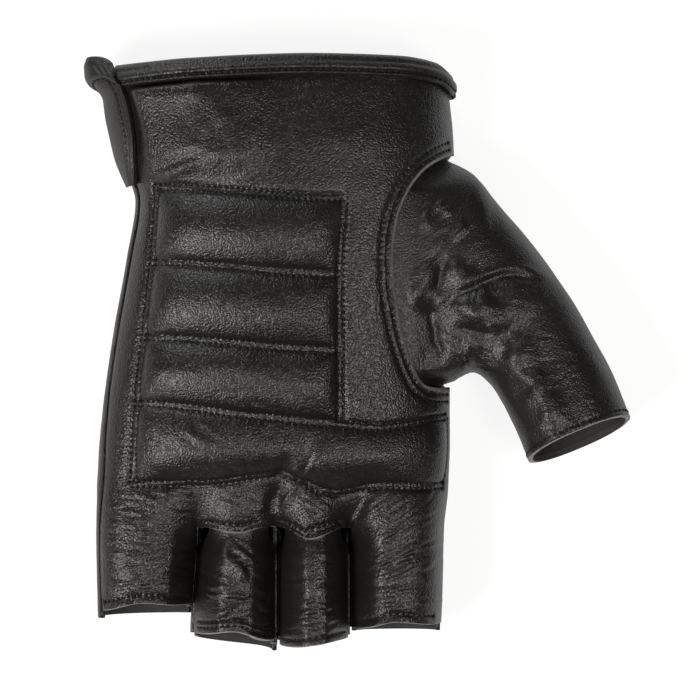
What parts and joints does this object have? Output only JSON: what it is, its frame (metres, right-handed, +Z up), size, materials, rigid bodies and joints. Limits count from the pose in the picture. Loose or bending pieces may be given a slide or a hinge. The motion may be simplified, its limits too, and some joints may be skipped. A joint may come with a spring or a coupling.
{
  "type": "fingerless motorcycle glove",
  "caption": "Black leather fingerless glove for a left hand, with a quilted palm, open finger and thumb ends, a bound cuff and a wrist closure flap.",
  "frame": {"origin": "centre of the bounding box, on the surface that the glove lies on", "axes": "+X towards the thumb side, +Y towards the cuff, +Z up, out of the palm; the back of the glove lies on z = 0"},
  "size_m": [0.1668, 0.1823, 0.0407],
  "materials": {
    "palm_leather": "soft satin grain leather",
    "back_leather": "soft satin grain leather",
    "finger_leather": "soft satin grain leather, creased",
    "thumb_leather": "soft satin grain leather, creased",
    "binding_leather": "smooth satin leather",
    "flap_leather": "soft satin grain leather"
  },
  "bodies": {
    "root": {"palm_panel": "palm_leather", "back_panel": "back_leather", "ring_front": "finger_leather", "middle_front": "finger_leather", "fourchette_little_ring": "finger_leather", "fourchette_ring_middle": "finger_leather", "fourchette_middle_index": "finger_leather", "thumb_stall": "thumb_leather", "cuff_binding": "binding_leather", "wrist_flap": "flap_leather"}
  },
  "joints": []
}
